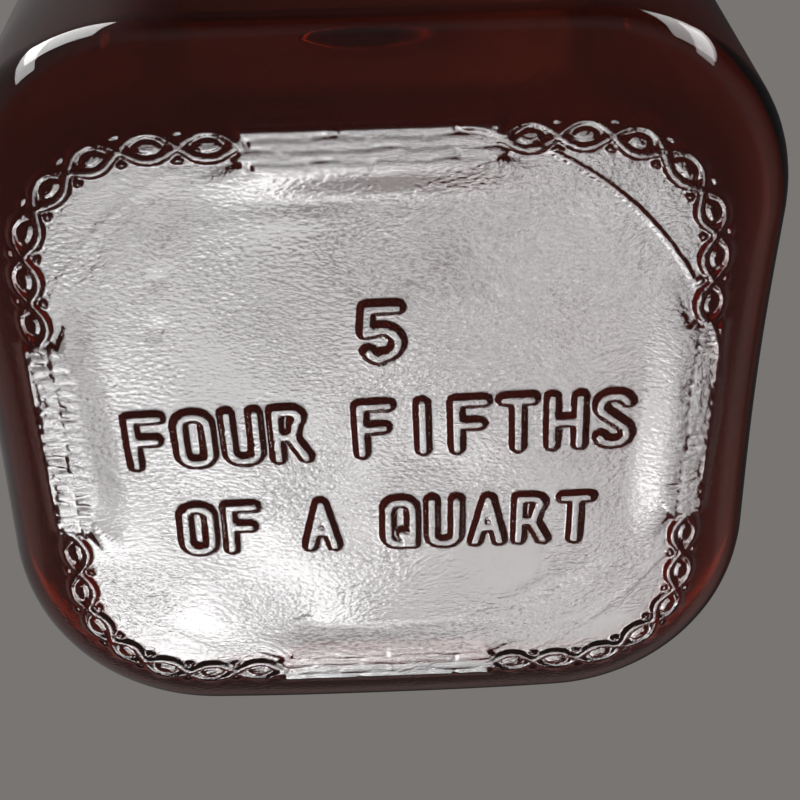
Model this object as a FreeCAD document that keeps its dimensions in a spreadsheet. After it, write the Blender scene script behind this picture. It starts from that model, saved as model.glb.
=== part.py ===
import FreeCAD, Part
import os
import math
import Sketcher

# A square amber glass bottle with a threaded finish and its screw closure.
# Millimetres, +Z up, the origin at the centre of the base, the front towards -Y.
doc = FreeCAD.newDocument("antique_glass_bottle")
sheet = doc.addObject("Spreadsheet::Sheet", "Sizes")

# Sizes that can be set by themselves.
sizes = {
    # moulded body
    "body_width": 80.0,
    "corner_radius": 21.0,
    "heel_radius": 7.0,
    "ring_width": 3.6,
    "panel_depth": 1.0,
    "panel_edge": 0.6,
    "wall": 3.5,
    "base_thick": 6.5,
    "inner_heel": 5.0,
    "body_height": 148.0,
    "shoulder_rise": 40.0,
    # neck and finish
    "neck_length": 26.0,
    "neck_flare": 1.0,
    "collar_step": 2.2,
    "collar_height": 4.0,
    "collar_proud": 0.15,
    "collar_round": 1.2,
    "groove_height": 1.2,
    "bead_lip": 1.2,
    "bead_height": 2.8,
    "bead_clear": 0.35,
    "root_dia": 25.2,
    "lip_wall": 3.4,
    "lip_round": 1.0,
    "finish_height": 18.0,
    "thread_pitch": 4.2,
    "thread_depth": 1.1,
    "thread_base": 2.0,
    "thread_crest": 0.9,
    "thread_turns": 1.5,
    "thread_start": 5.0,
    # closure
    "thread_clear": 0.35,
    "core_wall": 1.55,
    "core_top": 1.5,
    "core_thread_base": 1.6,
    "core_thread_crest": 0.8,
    "core_thread_turns": 1.25,
    "skirt_clear": 1.4,
    "board_thick": 1.0,
    "facing_thick": 0.3,
    "liner_clear": 0.6,
    "shell_thick": 0.4,
    "shell_clear": 0.05,
    "shell_round": 1.2,
    "knurl_radius": 0.3,
    "knurl_drop": 2.2,
    "knurl_height": 8.0,
    "band_gap": 0.4,
    "hem_thick": 0.6,
    "hem_clear": 0.4,
    # how far a thread's foot runs into the glass or the core
    "thread_bury": 0.3,
}
KNURL_COUNT = 60
SHOULDER_STEPS = 5
ROUND_SHARE = 0.97
BORE_TUCK = 0.9

# Levels and radii that follow from those sizes, so that what fits together moves together.
derived = {
    "body_half": "body_width / 2",
    "ring_half": "body_half - heel_radius",
    "panel_half": "ring_half - ring_width",
    "panel_corner": "corner_radius - heel_radius - ring_width",
    "inner_half": "body_half - wall",
    "inner_corner": "corner_radius - wall",
    "cavity_depth": "body_height - base_thick",
    "shoulder_top": "body_height + shoulder_rise",
    "collar_base": "shoulder_top + neck_length",
    "collar_top": "collar_base + collar_height",
    "bead_base": "collar_top + groove_height",
    "bead_top": "bead_base + bead_height",
    "lip_level": "bead_top + finish_height",
    "root_half": "root_dia / 2",
    "bore_half": "root_half - lip_wall",
    "bore_length": "lip_level - body_height - shoulder_rise * 0.6",
    "crest_half": "root_half + thread_depth",
    "thread_height": "thread_turns * thread_pitch",
    "thread_foot": "root_half - thread_bury",
    "thread_low": "bead_top + thread_start - thread_base / 2",
    "thread_low_crest": "bead_top + thread_start - thread_crest / 2",
    "thread_high_crest": "bead_top + thread_start + thread_crest / 2",
    "thread_high": "bead_top + thread_start + thread_base / 2",
    "core_in": "crest_half + thread_clear",
    "core_out": "core_in + core_wall",
    "core_crest": "root_half + thread_clear",
    "core_foot": "core_in + thread_bury",
    "core_thread_height": "core_thread_turns * thread_pitch",
    "core_thread_mid": "bead_top + thread_start + thread_pitch / 2",
    "core_thread_low": "core_thread_mid - core_thread_base / 2",
    "core_thread_low_crest": "core_thread_mid - core_thread_crest / 2",
    "core_thread_high_crest": "core_thread_mid + core_thread_crest / 2",
    "core_thread_high": "core_thread_mid + core_thread_base / 2",
    "skirt_level": "bead_top + skirt_clear",
    "board_level": "lip_level + facing_thick",
    "core_ceiling": "board_level + board_thick",
    "core_roof": "core_ceiling + core_top",
    "liner_half": "core_in - liner_clear",
    "shell_in": "core_out + shell_clear",
    "shell_out": "shell_in + shell_thick",
    "shell_roof": "core_roof + shell_thick",
    "knurl_base": "shell_roof - knurl_drop - knurl_height",
    "band_top": "skirt_level - band_gap",
    "bead_half": "shell_in - bead_clear",
    "groove_half": "bead_half - bead_lip",
    "collar_half": "shell_out + collar_proud",
    "neck_half": "collar_half - collar_step",
    "neck_low_half": "neck_half + neck_flare",
    "hem_in": "groove_half + hem_clear",
    "hem_top": "collar_top + hem_thick",
    "neck_low_corner": "neck_low_half * %s" % ROUND_SHARE,
    "neck_corner": "neck_half * %s" % ROUND_SHARE,
    "corner_share": "corner_radius / body_half",
    "inner_share": "inner_corner / inner_half",
}
# The shoulder falls from the rounded square of the body to the round neck along half a cosine wave.
for step in range(SHOULDER_STEPS + 1):
    part_way = step / SHOULDER_STEPS
    fall = "(1 + cos(%s)) / 2" % (180 * part_way)
    derived["outer_half_%d" % step] = "neck_low_half + (body_half - neck_low_half) * " + fall
    derived["outer_corner_%d" % step] = "outer_half_%d * (corner_share + (%s - corner_share) * %s)" % (
        step, ROUND_SHARE, part_way)
    derived["inner_half_%d" % step] = "bore_half * %s + (inner_half - bore_half * %s) * %s" % (
        BORE_TUCK, BORE_TUCK, fall)
    derived["inner_corner_%d" % step] = "inner_half_%d * (inner_share + (%s - inner_share) * %s)" % (
        step, ROUND_SHARE, part_way)
    derived["shoulder_level_%d" % step] = "body_height + shoulder_rise * %s" % part_way

row = 0
for table, sign in ((sizes, ""), (derived, "=")):
    for alias, value in table.items():
        row += 1
        sheet.set("A%d" % row, alias)
        sheet.set("B%d" % row, sign + str(value))
        sheet.setAlias("B%d" % row, alias)
doc.recompute()


def size(alias):
    """The value of one cell of the sheet."""
    return float(sheet.get(alias))


def bind(thing, path, alias):
    """Ties one property or constraint to a cell of the sheet."""
    thing.setExpression(path, "Sizes." + alias)


def plane(body, role):
    """One of the body's own origin planes."""
    return [item for item in body.Origin.OriginFeatures if item.Role == role][0]


def sketch_on(body, name, role, level=None):
    """A sketch on an origin plane, lifted to a level where one is given."""
    drawing = body.newObject("Sketcher::SketchObject", name)
    drawing.AttachmentSupport = (plane(body, role), [""])
    drawing.MapMode = "FlatFace"
    if level:
        drawing.AttachmentOffset.Base.z = size(level)
        bind(drawing, "AttachmentOffset.Base.z", level)
    return drawing


def rounded_square(body, name, half, corner, level=None):
    """A rounded square about the bottle's axis, four sides and four tangent corners."""
    drawing = sketch_on(body, name, "XY_Plane", level)
    edge = size(half)
    radius = size(corner)
    flat = edge - radius
    for turn in range(4):
        spin = FreeCAD.Rotation(FreeCAD.Vector(0, 0, 1), 90 * turn)
        start = spin.multVec(FreeCAD.Vector(edge, -flat, 0))
        end = spin.multVec(FreeCAD.Vector(edge, flat, 0))
        centre = spin.multVec(FreeCAD.Vector(flat, flat, 0))
        circle = Part.Circle(centre, FreeCAD.Vector(0, 0, 1), radius)
        drawing.addGeometry(Part.LineSegment(start, end), False)
        drawing.addGeometry(
            Part.ArcOfCircle(circle, math.pi / 2 * turn, math.pi / 2 * (turn + 1)), False)
    for item in range(8):
        drawing.addConstraint(Sketcher.Constraint("Tangent", item, 2, (item + 1) % 8, 1))
    for item, kind in ((0, "Vertical"), (2, "Horizontal"), (4, "Vertical"), (6, "Horizontal")):
        drawing.addConstraint(Sketcher.Constraint(kind, item))
    for item in (3, 5, 7):
        drawing.addConstraint(Sketcher.Constraint("Equal", 1, item))
    reach = (
        ("DistanceX", -1, 1, 0, 1),
        ("DistanceX", 4, 1, -1, 1),
        ("DistanceY", -1, 1, 2, 1),
        ("DistanceY", 6, 1, -1, 1),
    )
    for kind, first, first_end, second, second_end in reach:
        index = drawing.addConstraint(
            Sketcher.Constraint(kind, first, first_end, second, second_end, edge))
        bind(drawing, "Constraints[%d]" % index, half)
    index = drawing.addConstraint(Sketcher.Constraint("Radius", 1, radius))
    bind(drawing, "Constraints[%d]" % index, corner)
    return drawing


def profile(body, name, corners):
    """A closed outline on the XZ plane through named radii and levels; no radius means on the axis."""
    drawing = sketch_on(body, name, "XZ_Plane")
    spots = []
    for radius, level in corners:
        spots.append(FreeCAD.Vector(size(radius) if radius else 0, size(level), 0))
    count = len(spots)
    for item in range(count):
        drawing.addGeometry(Part.LineSegment(spots[item], spots[(item + 1) % count]), False)
    for item in range(count):
        drawing.addConstraint(Sketcher.Constraint("Coincident", item, 2, (item + 1) % count, 1))
    for item, (radius, level) in enumerate(corners):
        if radius:
            index = drawing.addConstraint(
                Sketcher.Constraint("DistanceX", -1, 1, item, 1, size(radius)))
            bind(drawing, "Constraints[%d]" % index, radius)
        else:
            drawing.addConstraint(Sketcher.Constraint("PointOnObject", item, 1, -2))
        index = drawing.addConstraint(Sketcher.Constraint("DistanceY", -1, 1, item, 1, size(level)))
        bind(drawing, "Constraints[%d]" % index, level)
    return drawing


def revolve(body, name, corners):
    """A turned piece from a profile about the bottle's axis."""
    drawing = profile(body, name + "_profile", corners)
    turned = body.newObject("PartDesign::Revolution", name)
    turned.Profile = drawing
    turned.ReferenceAxis = (drawing, ["V_Axis"])
    turned.Angle = 360
    doc.recompute()
    return turned


def helix(body, name, corners, pitch, height):
    """A right-hand thread ridge with the given section."""
    drawing = profile(body, name + "_profile", corners)
    ridge = body.newObject("PartDesign::AdditiveHelix", name)
    ridge.Profile = drawing
    ridge.ReferenceAxis = (drawing, ["V_Axis"])
    ridge.Mode = 0
    ridge.LeftHanded = False
    ridge.Pitch = size(pitch)
    ridge.Height = size(height)
    ridge.Angle = 0
    ridge.Growth = 0
    bind(ridge, "Pitch", pitch)
    bind(ridge, "Height", height)
    doc.recompute()
    return ridge


def extrude(body, name, kind, drawing, length, reverse=False):
    """A pad or a pocket of a named length."""
    block = body.newObject(kind, name)
    block.Profile = drawing
    block.Length = size(length)
    block.Reversed = reverse
    bind(block, "Length", length)
    doc.recompute()
    return block


def level_edges(shape, level, low=0.0, high=1000.0):
    """Names of the edges that lie flat at a level, within a range of distances from the axis."""
    names = []
    for number, edge in enumerate(shape.Edges, 1):
        box = edge.BoundBox
        middle = edge.valueAt((edge.FirstParameter + edge.LastParameter) / 2)
        away = math.hypot(middle.x, middle.y)
        if abs(box.ZMin - level) < 1e-4 and abs(box.ZMax - level) < 1e-4 and low < away < high:
            names.append("Edge%d" % number)
    return names


def fillet(body, name, base, edges, radius):
    """Rounds the named edges of a feature."""
    rounding = body.newObject("PartDesign::Fillet", name)
    rounding.Base = (base, edges)
    rounding.Radius = size(radius)
    bind(rounding, "Radius", radius)
    doc.recompute()
    return rounding


def must_change(before, after, grows):
    """Stops the build when a feature has added or cut nothing."""
    change = after.Shape.Volume - before.Shape.Volume
    if (change > 0) != grows or abs(change) < 1e-3:
        raise RuntimeError(after.Label + " changed the volume by %.4f" % change)


def loft(body, name, kind, sections):
    """A smooth loft through sketches from the bottom up."""
    blend = body.newObject(kind, name)
    blend.Profile = sections[0]
    blend.Sections = list(sections[1:])
    blend.Ruled = False
    doc.recompute()
    return blend


# Glass: the straight body with its rounded heel.
glass = doc.addObject("PartDesign::Body", "glass_bottle")
block = extrude(glass, "glass_body", "PartDesign::Pad",
                rounded_square(glass, "body_outline", "body_half", "corner_radius"), "body_height")
heel = fillet(glass, "glass_heel", block, level_edges(block.Shape, 0.0), "heel_radius")

# The shoulder, from the rounded square of the body to the round neck, and the neck up to the collar.
outer_sections = []
for step in range(SHOULDER_STEPS + 1):
    outer_sections.append(rounded_square(
        glass, "shoulder_section_%d" % step, "outer_half_%d" % step,
        "outer_corner_%d" % step, "shoulder_level_%d" % step))
shoulder = loft(glass, "glass_shoulder", "PartDesign::AdditiveLoft", outer_sections)
must_change(heel, shoulder, True)
neck = loft(glass, "glass_neck", "PartDesign::AdditiveLoft", (
    rounded_square(glass, "neck_foot", "neck_low_half", "neck_low_corner", "shoulder_top"),
    rounded_square(glass, "neck_head", "neck_half", "neck_corner", "collar_base")))
must_change(shoulder, neck, True)

# The collar that the tamper band sits on, the groove and bead that hold it, and the finish up to the lip.
finish = revolve(glass, "glass_finish", (
    (None, "collar_base"), ("collar_half", "collar_base"), ("collar_half", "collar_top"),
    ("groove_half", "collar_top"), ("groove_half", "bead_base"), ("bead_half", "bead_base"),
    ("bead_half", "bead_top"), ("root_half", "bead_top"), ("root_half", "lip_level"),
    (None, "lip_level")))
must_change(neck, finish, True)
collar_edge = level_edges(finish.Shape, size("collar_base"), size("neck_half") + 0.5)
collar = fillet(glass, "collar_rounding", finish, collar_edge, "collar_round")
lip = fillet(glass, "lip_rounding", collar, level_edges(collar.Shape, size("lip_level")), "lip_round")
thread = helix(glass, "glass_thread", (
    ("thread_foot", "thread_low"), ("crest_half", "thread_low_crest"),
    ("crest_half", "thread_high_crest"), ("thread_foot", "thread_high")), "thread_pitch", "thread_height")
must_change(lip, thread, True)

# The hollow: the bore, the inside of the shoulder and the inside of the body.
bore_circle = sketch_on(glass, "bore_circle", "XY_Plane", "lip_level")
bore_circle.addGeometry(
    Part.Circle(FreeCAD.Vector(0, 0, 0), FreeCAD.Vector(0, 0, 1), size("bore_half")), False)
bore_circle.addConstraint(Sketcher.Constraint("Coincident", 0, 3, -1, 1))
bore_size = bore_circle.addConstraint(Sketcher.Constraint("Radius", 0, size("bore_half")))
bind(bore_circle, "Constraints[%d]" % bore_size, "bore_half")
bore = extrude(glass, "glass_bore", "PartDesign::Pocket", bore_circle, "bore_length")
must_change(thread, bore, False)
inner_sections = []
for step in range(SHOULDER_STEPS + 1):
    inner_sections.append(rounded_square(
        glass, "inside_section_%d" % step, "inner_half_%d" % step,
        "inner_corner_%d" % step, "shoulder_level_%d" % step))
inside = loft(glass, "inside_shoulder", "PartDesign::SubtractiveLoft", inner_sections)
must_change(bore, inside, False)
cavity = extrude(glass, "inside_body", "PartDesign::Pocket",
                 rounded_square(glass, "inside_outline", "inner_half", "inner_corner", "body_height"),
                 "cavity_depth")
must_change(inside, cavity, False)
inner_heel = fillet(glass, "inside_heel", cavity,
                    level_edges(cavity.Shape, size("base_thick")), "inner_heel")

# The base panel, set back from the flat bearing ring.
panel = extrude(glass, "base_panel", "PartDesign::Pocket",
                rounded_square(glass, "panel_outline", "panel_half", "panel_corner"),
                "panel_depth", True)
must_change(inner_heel, panel, False)
panel_rim = level_edges(panel.Shape, 0.0, 0.0, size("panel_half") * 1.3)
panel_rim = [name for name in panel_rim
             if max(abs(panel.Shape.getElement(name).BoundBox.XMax),
                    abs(panel.Shape.getElement(name).BoundBox.YMax),
                    abs(panel.Shape.getElement(name).BoundBox.XMin),
                    abs(panel.Shape.getElement(name).BoundBox.YMin)) < size("panel_half") + 0.01]
rim = fillet(glass, "panel_rounding", panel, panel_rim, "panel_edge")
glass.Tip = rim

# Cap core: a moulded cup with one internal thread ridge.
core = doc.addObject("PartDesign::Body", "cap_core")
core_cup = revolve(core, "core_cup", (
    (None, "core_ceiling"), (None, "core_roof"), ("core_out", "core_roof"),
    ("core_out", "skirt_level"), ("core_in", "skirt_level"), ("core_in", "core_ceiling")))
core_thread = helix(core, "core_thread", (
    ("core_foot", "core_thread_low"), ("core_foot", "core_thread_high"),
    ("core_crest", "core_thread_high_crest"), ("core_crest", "core_thread_low_crest")),
    "thread_pitch", "core_thread_height")
must_change(core_cup, core_thread, True)

# Cap shell: a drawn cup with a rounded crown and a knurled grip.
shell = doc.addObject("PartDesign::Body", "cap_shell")
shell_cup = revolve(shell, "shell_cup", (
    (None, "core_roof"), (None, "shell_roof"), ("shell_out", "shell_roof"),
    ("shell_out", "skirt_level"), ("shell_in", "skirt_level"), ("shell_in", "core_roof")))
crown_edge = level_edges(shell_cup.Shape, size("shell_roof"))
crown = fillet(shell, "shell_crown", shell_cup, crown_edge, "shell_round")
rib_circle = sketch_on(shell, "rib_circle", "XY_Plane", "knurl_base")
rib_circle.addGeometry(
    Part.Circle(FreeCAD.Vector(size("shell_out"), 0, 0), FreeCAD.Vector(0, 0, 1), size("knurl_radius")),
    False)
rib_circle.addConstraint(Sketcher.Constraint("PointOnObject", 0, 3, -1))
rib_place = rib_circle.addConstraint(
    Sketcher.Constraint("DistanceX", -1, 1, 0, 3, size("shell_out")))
bind(rib_circle, "Constraints[%d]" % rib_place, "shell_out")
rib_size = rib_circle.addConstraint(Sketcher.Constraint("Radius", 0, size("knurl_radius")))
bind(rib_circle, "Constraints[%d]" % rib_size, "knurl_radius")
rib = extrude(shell, "knurl_rib", "PartDesign::Pad", rib_circle, "knurl_height")
must_change(crown, rib, True)
knurl = shell.newObject("PartDesign::PolarPattern", "knurl")
knurl.Originals = [rib]
knurl.Axis = (rib_circle, ["N_Axis"])
knurl.Angle = 360
knurl.Occurrences = KNURL_COUNT
shell.Tip = knurl
doc.recompute()
must_change(rib, knurl, True)

# Tamper band: a ring with a hem that is tucked under the bead.
band = doc.addObject("PartDesign::Body", "tamper_band")
revolve(band, "band_ring", (
    ("hem_in", "collar_top"), ("shell_out", "collar_top"), ("shell_out", "band_top"),
    ("shell_in", "band_top"), ("shell_in", "hem_top"), ("hem_in", "hem_top")))

# Liner: a pulpboard disc with a thin facing below it.
discs = (
    ("liner_board", "board_level", "board_thick"),
    ("liner_facing", "lip_level", "facing_thick"),
)
for name, level, thick in discs:
    disc = doc.addObject("Part::Cylinder", name)
    bind(disc, "Radius", "liner_half")
    bind(disc, "Height", thick)
    bind(disc, "Placement.Base.z", level)
doc.recompute()

# Every object must be sound before anything is written.
NODES = ("glass_bottle", "cap_core", "cap_shell", "tamper_band", "liner_board", "liner_facing")
for item in doc.Objects:
    if "Invalid" in item.State or "Error" in item.State:
        raise RuntimeError("failed object: " + item.Label)
for name in NODES:
    shape = doc.getObject(name).Shape
    if shape.isNull() or not shape.isValid() or len(shape.Solids) != 1:
        raise RuntimeError("unsound shape: " + name)

os.makedirs("parts", exist_ok=True)
for name in NODES:
    shape = doc.getObject(name).Shape
    shape.exportStep("parts/%s.step" % name)
    print(name, "volume %.0f mm3" % shape.Volume, shape.BoundBox)
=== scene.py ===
"""Looks of a square amber glass bottle: moulded glass, screw cap, tamper band and a plain studio.

Sizes are in millimetres where nothing else is said.
"""
import logging
import math
from dataclasses import dataclass, field
from enum import Enum
from typing import Any, Sequence

import bmesh
import bpy
import numpy as np
from mathutils import Matrix, Vector


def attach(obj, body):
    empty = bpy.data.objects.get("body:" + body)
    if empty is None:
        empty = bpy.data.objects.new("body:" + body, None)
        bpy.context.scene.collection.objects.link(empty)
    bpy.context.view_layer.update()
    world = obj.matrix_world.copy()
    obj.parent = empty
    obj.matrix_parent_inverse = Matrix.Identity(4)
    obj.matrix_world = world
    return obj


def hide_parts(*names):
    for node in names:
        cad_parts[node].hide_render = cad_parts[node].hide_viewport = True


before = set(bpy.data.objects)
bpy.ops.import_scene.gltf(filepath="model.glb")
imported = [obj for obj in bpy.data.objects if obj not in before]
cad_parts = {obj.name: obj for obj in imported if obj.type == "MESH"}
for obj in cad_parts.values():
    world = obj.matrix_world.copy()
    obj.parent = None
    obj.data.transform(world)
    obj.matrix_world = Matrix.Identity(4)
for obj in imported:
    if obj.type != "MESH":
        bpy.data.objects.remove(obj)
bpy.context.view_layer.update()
log = logging.getLogger("amber_bottle")
# Metres in a millimetre.
MM = 0.001
# Radius of the mould plate's seam on the base, in millimetres.
SEAM = 33.5
Point = tuple[float, float]
Colour = tuple[float, float, float, float]
Loop = list[int]


class Grip(Enum):
    """How the bearing ring is knurled in the middle of a side: a bar's length and its row's width."""

    CROSS_BARS = (1.35, 1.9)
    LONG_BARS = (5.2, 1.15)


class PanePart(Enum):
    """The parts of a bright pane: how much larger than the pane each is, and its share of the light."""

    CORE = (1.0, 0.6)
    GLOW = (1.5, 0.4)


class Ray(Enum):
    """The kinds of ray that the studio answers in its own way, by their Light Path sockets."""

    CAMERA = "Is Camera Ray"
    GLOSSY = "Is Glossy Ray"
    TRANSMISSION = "Is Transmission Ray"


def linear(code: str) -> Colour:
    """Turns an sRGB hex colour into linear light.

    Args:
        code: six hex digits.

    Returns:
        Linear red, green, blue and an alpha of 1.
    """
    parts = [int(code[place:place + 2], 16) / 255 for place in (0, 2, 4)]
    light = [part / 12.92 if part <= 0.04045 else ((part + 0.055) / 1.055) ** 2.4 for part in parts]
    return (light[0], light[1], light[2], 1.0)


def grey_light(level: float) -> Colour:
    """A neutral colour of the given linear brightness."""
    return (level, level, level, 1.0)


def ease(value: np.ndarray) -> np.ndarray:
    """Eases a value from 0 to 1 with flat ends.

    Args:
        value: the plain run, held to 0 and 1 beyond them.

    Returns:
        The eased values.
    """
    share = np.clip(value, 0, 1)
    return share * share * (3 - 2 * share)


def add_node(tree: bpy.types.NodeTree, kind: str, links: dict[Any, Any] | None = None,
             **settings: Any) -> bpy.types.Node:
    """Adds a node, sets it up and links it.

    Args:
        tree: the node tree that takes the node.
        kind: the node's type name.
        links: input name or number to a value, or to an output socket to link.
        settings: the node's own properties.

    Returns:
        The new node.
    """
    node = tree.nodes.new(kind)
    for name, value in settings.items():
        setattr(node, name, value)
    for name, value in (links or {}).items():
        if isinstance(value, bpy.types.NodeSocket):
            tree.links.new(value, node.inputs[name])
        else:
            node.inputs[name].default_value = value
    return node


def new_material(name: str) -> tuple[bpy.types.Material, bpy.types.NodeTree, bpy.types.Node]:
    """Starts a material with only its output.

    Args:
        name: the material's name.

    Returns:
        The material, its node tree and its output node.
    """
    material = bpy.data.materials.new(name)
    material.use_nodes = True
    tree = material.node_tree
    tree.nodes.clear()
    return material, tree, add_node(tree, "ShaderNodeOutputMaterial")


def mesh_object(name: str, spots: Sequence[Sequence[float]], faces: Sequence[Sequence[int]],
                material: bpy.types.Material) -> bpy.types.Object:
    """Makes a smooth mesh object at the origin from points in millimetres.

    Args:
        name: the object's name.
        spots: points in millimetres.
        faces: corner numbers of each face.
        material: the finish.

    Returns:
        The object, linked to the scene.
    """
    mesh = bpy.data.meshes.new(name)
    mesh.from_pydata([tuple(value * MM for value in spot) for spot in spots], [], faces)
    mesh.materials.append(material)
    mesh.shade_smooth()
    thing = bpy.data.objects.new(name, mesh)
    bpy.context.collection.objects.link(thing)
    return thing


def lathe(name: str, profile: Sequence[Point], sides: int,
          material: bpy.types.Material) -> bpy.types.Object:
    """Turns a closed or axis-to-axis profile about the bottle's axis.

    Args:
        name: the object's name.
        profile: radius and level of each corner, in order, with the material on the left hand.
        sides: columns around the axis.
        material: the finish.

    Returns:
        The turned piece.
    """
    spots: list[tuple[float, float, float]] = []
    rows: list[Loop] = []
    for radius, level in profile:
        if radius < 1e-6:
            rows.append([len(spots)] * sides)
            spots.append((0.0, 0.0, level))
            continue
        rows.append(list(range(len(spots), len(spots) + sides)))
        for column in range(sides):
            turn = 2 * math.pi * column / sides
            spots.append((radius * math.cos(turn), radius * math.sin(turn), level))
    closed = profile[0][0] > 1e-6
    faces = []
    for number in range(len(rows) if closed else len(rows) - 1):
        low, high = rows[number], rows[(number + 1) % len(rows)]
        for column in range(sides):
            after = (column + 1) % sides
            corners = (low[column], low[after], high[after], high[column])
            faces.append(tuple(dict.fromkeys(corners)))
    return mesh_object(name, spots, faces, material)


def bend(centre: Point, radius: float, start: float, end: float, steps: int = 5) -> list[Point]:
    """Points along an arc of a profile.

    Args:
        centre: radius and level of the arc's centre.
        radius: the arc's radius.
        start: first angle in degrees.
        end: last angle in degrees.
        steps: spans along the arc.

    Returns:
        The arc's points, ends included.
    """
    turns = [math.radians(start + (end - start) * step / steps) for step in range(steps + 1)]
    return [(centre[0] + radius * math.cos(turn), centre[1] + radius * math.sin(turn)) for turn in turns]


@dataclass(frozen=True)
class AmberGlass:
    """Soda-lime bottle glass, coloured brown in the melt and blown in an iron mould.

    It is clear and glossy, almost black where it is thick and red-orange where it is thin, and the
    mould leaves a fine orange-peel grain on the base and slow waves on the walls.
    """

    index: float = 1.52
    gloss: float = 0.02
    scuff: float = 0.16
    scuff_full: float = 0.02
    scuff_end: float = 0.12
    smudge: float = 22.0
    haze: float = 0.07
    haze_range: Point = (0.52, 0.7)
    tint: str = "E2A578"
    density: float = 640.0
    grain: float = 0.45
    grain_height: float = 0.07
    grain_stretch: tuple[float, float, float] = (0.85, 1.1, 1.0)
    grain_top: float = 2.6
    grain_fade: float = 0.9
    blotch: float = 11.0
    blotch_range: Point = (0.38, 0.62)
    least_grain: float = 0.35
    wave: float = 14.0
    wave_height: float = 0.5
    wave_strength: float = 0.35
    seam_width: float = 0.5
    seam_height: float = 0.08
    seam_from: float = 25.0
    seam_full: float = 42.0
    seam_least: float = 0.12

    def grained(self, tree: bpy.types.NodeTree, place: bpy.types.NodeSocket,
                base: bpy.types.NodeSocket) -> bpy.types.NodeSocket:
        """Adds the slow waves of the walls and the patchy grain of the base.

        Args:
            tree: the material's nodes.
            place: where a point lies on the bottle.
            base: 1 on the base and 0 above it.

        Returns:
            The bumped normal.
        """
        drawn = add_node(tree, "ShaderNodeMapping", {"Vector": place, "Scale": self.grain_stretch})
        grain = add_node(tree, "ShaderNodeTexNoise", {
            "Vector": drawn.outputs["Vector"], "Scale": 1 / (self.grain * MM), "Detail": 1.0})
        blotch = add_node(tree, "ShaderNodeTexNoise", {
            "Vector": place, "Scale": 1 / (self.blotch * MM), "Detail": 1.0})
        patchy = add_node(tree, "ShaderNodeMapRange", {
            "Value": blotch.outputs["Fac"], "From Min": self.blotch_range[0],
            "From Max": self.blotch_range[1], "To Min": self.least_grain, "To Max": 1.0})
        amount = add_node(tree, "ShaderNodeMath", {
            0: base, 1: patchy.outputs["Result"]}, operation="MULTIPLY")
        wave = add_node(tree, "ShaderNodeTexNoise", {
            "Vector": place, "Scale": 1 / (self.wave * MM), "Detail": 0.0})
        slow = add_node(tree, "ShaderNodeBump", {
            "Strength": self.wave_strength, "Distance": self.wave_height * MM,
            "Height": wave.outputs["Fac"]})
        peel = add_node(tree, "ShaderNodeBump", {
            "Strength": amount.outputs["Value"], "Distance": self.grain_height * MM,
            "Height": grain.outputs["Fac"], "Normal": slow.outputs["Normal"]})
        return peel.outputs["Normal"]

    def seamed(self, tree: bpy.types.NodeTree, place: bpy.types.NodeSocket, base: bpy.types.NodeSocket,
               normal: bpy.types.NodeSocket) -> bpy.types.NodeSocket:
        """Adds the mould plate's seam, which shows most in one corner of the base.

        Args:
            tree: the material's nodes.
            place: where a point lies on the bottle.
            base: 1 on the base and 0 above it.
            normal: the normal that the seam is added to.

        Returns:
            The bumped normal.
        """
        parts = add_node(tree, "ShaderNodeSeparateXYZ", {0: place}).outputs
        flat = add_node(tree, "ShaderNodeVectorMath", {0: place, 1: (1.0, 1.0, 0.0)}, operation="MULTIPLY")
        out = add_node(tree, "ShaderNodeVectorMath", {0: flat.outputs["Vector"]}, operation="LENGTH")
        past = add_node(tree, "ShaderNodeMath", {
            0: out.outputs["Value"], 1: SEAM * MM}, operation="SUBTRACT")
        apart = add_node(tree, "ShaderNodeMath", {0: past.outputs["Value"]}, operation="ABSOLUTE")
        ridge = add_node(tree, "ShaderNodeMapRange", {
            "Value": apart.outputs["Value"], "From Max": self.seam_width * MM,
            "To Min": 1.0, "To Max": 0.0}, interpolation_type="SMOOTHSTEP")
        lean = add_node(tree, "ShaderNodeMath", {0: parts["X"], 1: parts["Y"]}, operation="SUBTRACT")
        side = add_node(tree, "ShaderNodeMapRange", {
            "Value": lean.outputs["Value"], "From Min": self.seam_from * MM,
            "From Max": self.seam_full * MM, "To Min": self.seam_least})
        fade = add_node(tree, "ShaderNodeMath", {0: side.outputs["Result"], 1: base}, operation="MULTIPLY")
        seam = add_node(tree, "ShaderNodeBump", {
            "Strength": fade.outputs["Value"], "Distance": self.seam_height * MM,
            "Height": ridge.outputs["Result"], "Normal": normal})
        return seam.outputs["Normal"]

    def rubbed(self, tree: bpy.types.NodeTree, place: bpy.types.NodeSocket,
               level: bpy.types.NodeSocket) -> bpy.types.NodeSocket:
        """Adds the scuffs of the tops that stand on the table, and faint smudges all over.

        Args:
            tree: the material's nodes.
            place: where a point lies on the bottle.
            level: its height.

        Returns:
            The roughness.
        """
        scuff = add_node(tree, "ShaderNodeMapRange", {
            "Value": level, "From Min": self.scuff_full * MM, "From Max": self.scuff_end * MM,
            "To Min": self.scuff, "To Max": self.gloss})
        smudge = add_node(tree, "ShaderNodeTexNoise", {
            "Vector": place, "Scale": 1 / (self.smudge * MM), "Detail": 5.0, "Roughness": 0.62})
        haze = add_node(tree, "ShaderNodeMapRange", {
            "Value": smudge.outputs["Fac"], "From Min": self.haze_range[0],
            "From Max": self.haze_range[1], "To Max": self.haze})
        rough = add_node(tree, "ShaderNodeMath", {0: scuff.outputs["Result"], 1: haze.outputs["Result"]})
        return rough.outputs["Value"]

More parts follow.
